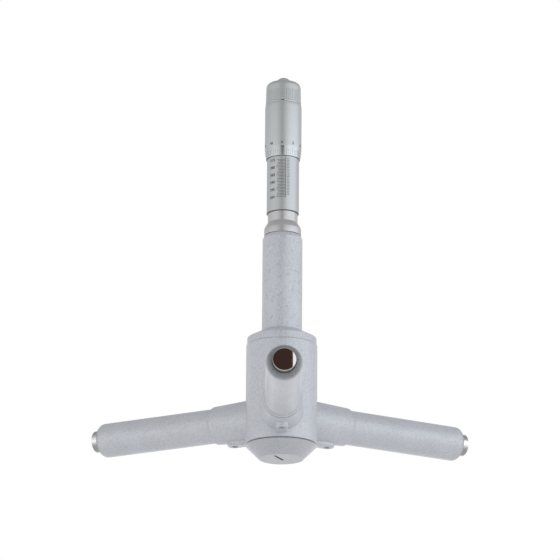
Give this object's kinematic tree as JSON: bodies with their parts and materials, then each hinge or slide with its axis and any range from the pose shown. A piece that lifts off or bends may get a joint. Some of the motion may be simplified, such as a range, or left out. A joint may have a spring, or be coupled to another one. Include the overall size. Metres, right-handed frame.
{
  "type": "inside micrometer",
  "caption": "Inside micrometer for large bores: a thimble on a handle tube feeds a cone that pushes the anvils out of arms spaced evenly round the head.",
  "frame": {"origin": "centre of the end cap's flat face, on the spindle axis", "axes": "+Z along the spindle from the end cap to the ratchet, -Y along the front arm, +X to the right as seen from the front"},
  "size_m": [0.2444, 0.2121, 0.2542],
  "materials": {
    "paint": "silver-grey hammer-finish paint on steel",
    "satin_chrome": "satin chrome plate with black markings",
    "bright_steel": "finely turned bright steel",
    "polished_steel": "hardened, ground and lapped",
    "tool_steel": "hardened and ground, oiled",
    "spring_steel": "drawn spring wire and strip",
    "bronze": "bearing bronze, turned"
  },
  "bodies": {
    "head": {"head_body": "paint", "end_cap": "paint", "handle_tube": "paint", "head_barrel": "bright_steel", "adjusting_nut": "tool_steel", "front_arm": "paint", "right_arm": "paint", "left_arm": "paint", "guide_screws": "tool_steel", "rod_bushes": "bronze", "rod_key": "tool_steel", "front_spring": "spring_steel", "right_spring": "spring_steel", "left_spring": "spring_steel"},
    "cone_slide": {"cone": "tool_steel", "push_rod": "tool_steel", "thrust_ball": "polished_steel"},
    "thimble_unit": {"spindle": "tool_steel", "thimble": "satin_chrome", "ratchet_base": "tool_steel", "ratchet_screw": "satin_chrome"},
    "ratchet": {"ratchet_knob": "satin_chrome", "ratchet_pawl": "tool_steel", "ratchet_spring": "spring_steel"},
    "sleeve": {"scale_sleeve": "satin_chrome"},
    "anvil_front": {"front_anvil": "polished_steel", "front_rod": "tool_steel", "front_clip": "spring_steel"},
    "anvil_right": {"right_anvil": "polished_steel", "right_rod": "tool_steel", "right_clip": "spring_steel"},
    "anvil_left": {"left_anvil": "polished_steel", "left_rod": "tool_steel", "left_clip": "spring_steel"}
  },
  "joints": [
    {"name": "spindle_feed", "type": "slide", "parent": "head", "child": "cone_slide", "axis": [0, 0, -1], "range_m": [0, 0.025]},
    {"name": "thimble_turn", "type": "hinge", "parent": "cone_slide", "child": "thimble_unit", "pos_m": [0, 0, 0.2], "axis": [0, 0, -1], "range_deg": [0, 18000]},
    {"name": "ratchet_turn", "type": "hinge", "parent": "thimble_unit", "child": "ratchet", "pos_m": [0, 0, 0.24], "axis": [0, 0, -1], "continuous": true},
    {"name": "sleeve_zero", "type": "hinge", "parent": "head", "child": "sleeve", "pos_m": [0, 0, 0.18], "axis": [0, 0, 1], "range_deg": [-10, 10]},
    {"name": "front_anvil_slide", "type": "slide", "parent": "head", "child": "anvil_front", "axis": [0, -1, 0], "range_m": [0, 0.0125], "deforming": ["front_spring"]},
    {"name": "right_anvil_slide", "type": "slide", "parent": "head", "child": "anvil_right", "axis": [0.866, 0.5, 0], "range_m": [0, 0.0125], "deforming": ["right_spring"]},
    {"name": "left_anvil_slide", "type": "slide", "parent": "head", "child": "anvil_left", "axis": [-0.866, 0.5, 0], "range_m": [0, 0.0125], "deforming": ["left_spring"]}
  ],
  "couplings": [
    {"joint": "thimble_turn", "follows": "spindle_feed", "rad_per_m": 12566},
    {"joint": "front_anvil_slide", "follows": "spindle_feed", "ratio": 0.5},
    {"joint": "right_anvil_slide", "follows": "spindle_feed", "ratio": 0.5},
    {"joint": "left_anvil_slide", "follows": "spindle_feed", "ratio": 0.5}
  ]
}
